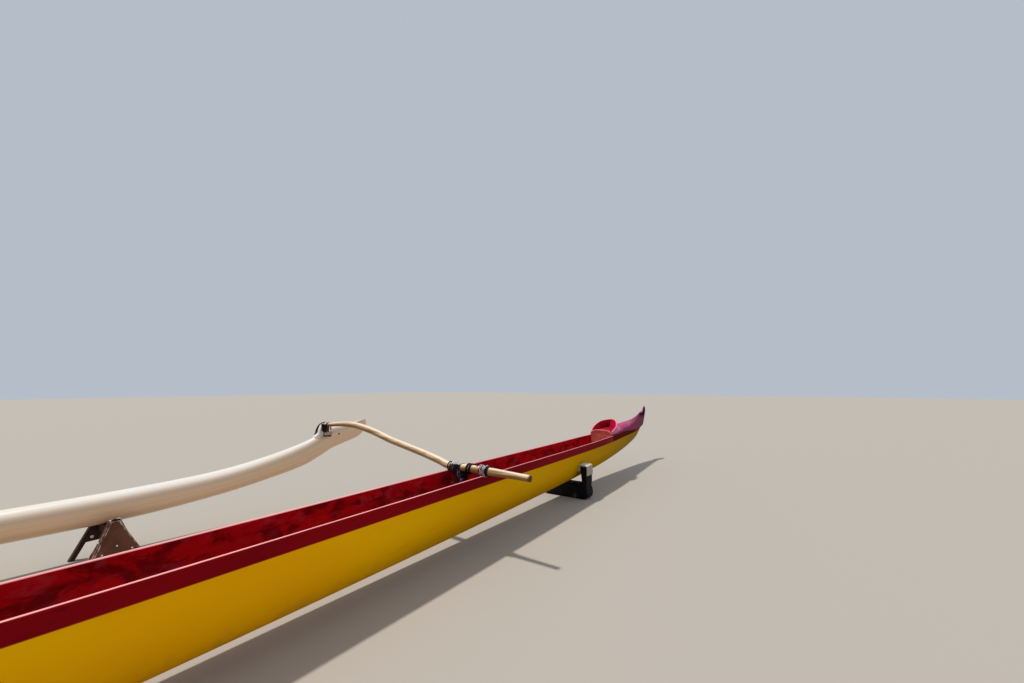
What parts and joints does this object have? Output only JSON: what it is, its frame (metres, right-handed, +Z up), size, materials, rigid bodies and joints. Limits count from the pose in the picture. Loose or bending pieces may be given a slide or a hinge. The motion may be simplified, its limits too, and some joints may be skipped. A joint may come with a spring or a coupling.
{
  "type": "outrigger canoe",
  "caption": "Long narrow open canoe with raised end pieces, two curved booms lashed across it to a float on one side, standing ashore on cradles and a trestle.",
  "frame": {"origin": "on the ground under the middle of the whole width, midway along the hull", "axes": "+X towards the bow, +Y to port where the float is, +Z up"},
  "size_m": [13.26, 3.0566, 0.978],
  "materials": {
    "hull_yellow": "gloss paint on fibreglass",
    "gunwale_red": "gloss paint",
    "deck_red": "high gloss paint",
    "bulkhead_salmon": "sun-faded paint",
    "seat_red": "worn paint on wood",
    "boom_wood": "clear varnish",
    "lashing_black": "matte cord and rubber strap",
    "float_white": "gloss gelcoat",
    "chock_brown": "painted wood",
    "cradle_black": "weathered black",
    "pad_white": "carpet",
    "trestle_brown": "brown stain"
  },
  "bodies": {
    "root": {"hull": "hull_yellow", "gunwale_port": "gunwale_red", "gunwale_starboard": "gunwale_red", "bow_splash_guard": "gunwale_red", "stern_splash_guard": "gunwale_red", "bow_end_piece": "deck_red", "stern_end_piece": "deck_red", "bow_bulkhead": "bulkhead_salmon", "stern_bulkhead": "bulkhead_salmon", "seat_1": "seat_red", "seat_2": "seat_red", "seat_3": "seat_red", "seat_4": "seat_red", "seat_5": "seat_red", "seat_6": "seat_red", "boom_front": "boom_wood", "boom_rear": "boom_wood", "spreader_front": "boom_wood", "spreader_rear": "boom_wood", "hull_lashing_front_port": "lashing_black", "hull_lashing_front_starboard": "lashing_black", "hull_lashing_rear_port": "lashing_black", "hull_lashing_rear_starboard": "lashing_black", "float_lashing_front": "lashing_black", "float_lashing_rear": "lashing_black", "float": "float_white", "float_chock_front": "chock_brown", "float_chock_rear": "chock_brown", "bow_cradle": "cradle_black", "stern_cradle": "cradle_black", "bow_cradle_pad_port": "pad_white", "bow_cradle_pad_starboard": "pad_white", "stern_cradle_pad_port": "pad_white", "stern_cradle_pad_starboard": "pad_white", "trestle_leg_near_aft": "trestle_brown", "trestle_leg_near_fore": "trestle_brown", "trestle_leg_far_aft": "trestle_brown", "trestle_leg_far_fore": "trestle_brown", "trestle_gusset_near": "trestle_brown", "trestle_gusset_far": "trestle_brown", "trestle_beam": "trestle_brown"}
  },
  "joints": []
}
